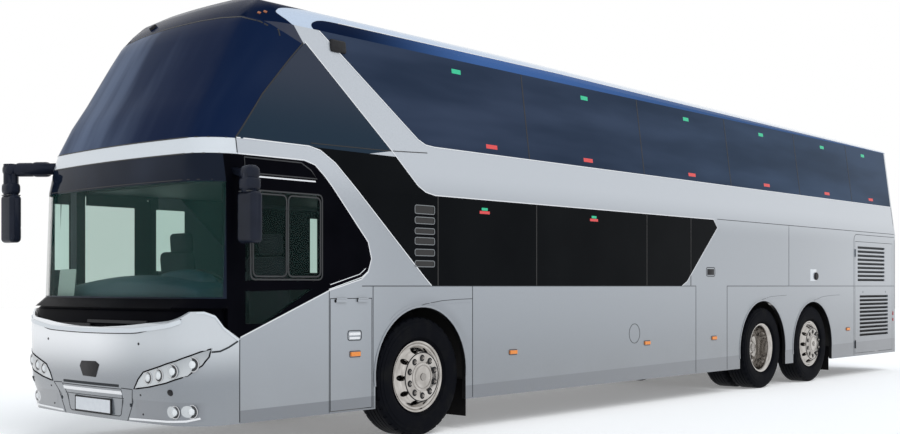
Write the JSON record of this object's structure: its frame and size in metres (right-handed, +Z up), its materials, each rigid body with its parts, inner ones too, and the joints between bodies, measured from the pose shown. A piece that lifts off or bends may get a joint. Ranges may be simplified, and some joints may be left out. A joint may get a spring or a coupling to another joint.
{
  "type": "double-deck touring coach",
  "caption": "Double-deck touring coach with a raked upper windscreen, wrap-around side glass, silver diagonals, steered front and trailing axles and hinged service flaps.",
  "frame": {"origin": "on the ground below the middle of the coach's overall length and width", "axes": "+X forward, +Y to the driver's side (left), +Z up"},
  "size_m": [14, 3.15, 3.925],
  "materials": {
    "silver_paint": "metallic silver body paint",
    "navy_paint": "dark navy gloss roof paint",
    "dark_glass": "dark tinted bonded glass",
    "clear_glass": "lightly green tinted glass",
    "black_gloss": "black gloss frame",
    "black_plastic": "black moulded plastic",
    "tyre": "black tyre rubber",
    "rim": "polished bright wheel",
    "chassis": "grey-black chassis paint",
    "floor": "grey covered plywood floor",
    "seat": "dark grey seat cloth over foam",
    "lamp": "clear lamp lens",
    "amber": "amber marker lens",
    "red_lens": "red lamp lens",
    "plate": "blank white plate",
    "engine": "dark cast engine",
    "dash": "soft dark dashboard",
    "rubber": "black rubber"
  },
  "bodies": {
    "coach": {"left_side_panel": "silver_paint", "right_side_panel": "silver_paint", "roof_shell": "navy_paint", "rear_panel": "silver_paint", "rear_window": "dark_glass", "front_lamps": "lamp", "front_panel": "silver_paint", "front_cowl": "black_gloss", "windscreen_pillars": "black_gloss", "lower_windscreen": "clear_glass", "front_band": "silver_paint", "upper_windscreen": "dark_glass", "upper_side_glass": "dark_glass", "lower_side_glass": "dark_glass", "front_quarter_glass": "dark_glass", "cab_window_frame": "black_gloss", "cab_window": "clear_glass", "front_door": "black_gloss", "middle_door": "silver_paint", "door_glass": "dark_glass", "wheel_wells": "chassis", "lower_floor": "floor", "bulkheads": "floor", "upper_floor": "floor", "chassis_rails": "chassis", "engine_block": "engine", "front_axle_beam": "chassis", "tag_axle_beam": "chassis", "drive_axle": "chassis", "passenger_seats": "seat", "driver_seat": "seat", "dashboard": "dash", "steering_wheel": "black_plastic", "mirrors": "black_plastic", "wipers": "black_plastic", "side_markers": "amber", "tail_lamps": "red_lens", "front_number_plate": "plate", "mudflaps": "rubber"},
    "front_left_wheel": {"front_left_rim": "rim", "front_left_tyre": "tyre"},
    "front_left_steer": {"front_knuckle_left": "chassis"},
    "front_right_wheel": {"front_right_rim": "rim", "front_right_tyre": "tyre"},
    "front_right_steer": {"front_knuckle_right": "chassis"},
    "drive_left_wheel": {"drive_left_rim": "rim", "drive_left_tyre": "tyre"},
    "drive_right_wheel": {"drive_right_rim": "rim", "drive_right_tyre": "tyre"},
    "tag_left_wheel": {"tag_left_rim": "rim", "tag_left_tyre": "tyre"},
    "tag_left_steer": {"tag_knuckle_left": "chassis"},
    "tag_right_wheel": {"tag_right_rim": "rim", "tag_right_tyre": "tyre"},
    "tag_right_steer": {"tag_knuckle_right": "chassis"},
    "engine_hatch_body": {"engine_hatch": "silver_paint", "rear_number_plate": "plate"},
    "left_engine_flap_body": {"left_engine_flap": "silver_paint"},
    "right_engine_flap_body": {"right_engine_flap": "silver_paint"},
    "front_service_flap_body": {"front_service_flap": "silver_paint"}
  },
  "joints": [
    {"name": "front_left_steer_turn", "type": "hinge", "parent": "coach", "child": "front_left_steer", "pos_m": [4.37, 0.88, 0.545], "axis": [0, 0, 1], "range_deg": [-42, 42]},
    {"name": "front_left_wheel_spin", "type": "hinge", "parent": "front_left_steer", "child": "front_left_wheel", "pos_m": [4.37, 1.093, 0.545], "axis": [0, 1, 0], "continuous": true},
    {"name": "front_right_steer_turn", "type": "hinge", "parent": "coach", "child": "front_right_steer", "pos_m": [4.37, -0.88, 0.545], "axis": [0, 0, 1], "range_deg": [-42, 42]},
    {"name": "front_right_wheel_spin", "type": "hinge", "parent": "front_right_steer", "child": "front_right_wheel", "pos_m": [4.37, -1.093, 0.545], "axis": [0, 1, 0], "continuous": true},
    {"name": "drive_left_wheel_spin", "type": "hinge", "parent": "coach", "child": "drive_left_wheel", "pos_m": [-2.34, 1.093, 0.545], "axis": [0, 1, 0], "continuous": true},
    {"name": "drive_right_wheel_spin", "type": "hinge", "parent": "coach", "child": "drive_right_wheel", "pos_m": [-2.34, -1.093, 0.545], "axis": [0, 1, 0], "continuous": true},
    {"name": "tag_left_steer_turn", "type": "hinge", "parent": "coach", "child": "tag_left_steer", "pos_m": [-3.82, 0.88, 0.545], "axis": [0, 0, 1], "range_deg": [-12, 12]},
    {"name": "tag_left_wheel_spin", "type": "hinge", "parent": "tag_left_steer", "child": "tag_left_wheel", "pos_m": [-3.82, 1.093, 0.545], "axis": [0, 1, 0], "continuous": true},
    {"name": "tag_right_steer_turn", "type": "hinge", "parent": "coach", "child": "tag_right_steer", "pos_m": [-3.82, -0.88, 0.545], "axis": [0, 0, 1], "range_deg": [-12, 12]},
    {"name": "tag_right_wheel_spin", "type": "hinge", "parent": "tag_right_steer", "child": "tag_right_wheel", "pos_m": [-3.82, -1.093, 0.545], "axis": [0, 1, 0], "continuous": true},
    {"name": "engine_hatch_lift", "type": "hinge", "parent": "coach", "child": "engine_hatch_body", "pos_m": [-6.993, 0, 1.414], "axis": [0, 1, 0], "range_deg": [0, 75]},
    {"name": "left_engine_flap_swing", "type": "hinge", "parent": "coach", "child": "left_engine_flap_body", "pos_m": [-5.306, 1.2875, 1.2], "axis": [0, 0, -1], "range_deg": [0, 100]},
    {"name": "right_engine_flap_swing", "type": "hinge", "parent": "coach", "child": "right_engine_flap_body", "pos_m": [-5.306, -1.2875, 1.2], "axis": [0, 0, 1], "range_deg": [0, 100]},
    {"name": "front_service_flap_lift", "type": "hinge", "parent": "coach", "child": "front_service_flap_body", "pos_m": [5.255, 1.2875, 1.264], "axis": [1, 0, 0], "range_deg": [0, 85]}
  ],
  "couplings": [
    {"joint": "front_right_steer_turn", "follows": "front_left_steer_turn", "ratio": 1},
    {"joint": "tag_left_steer_turn", "follows": "front_left_steer_turn", "ratio": -0.2857},
    {"joint": "tag_right_steer_turn", "follows": "front_left_steer_turn", "ratio": -0.2857}
  ]
}
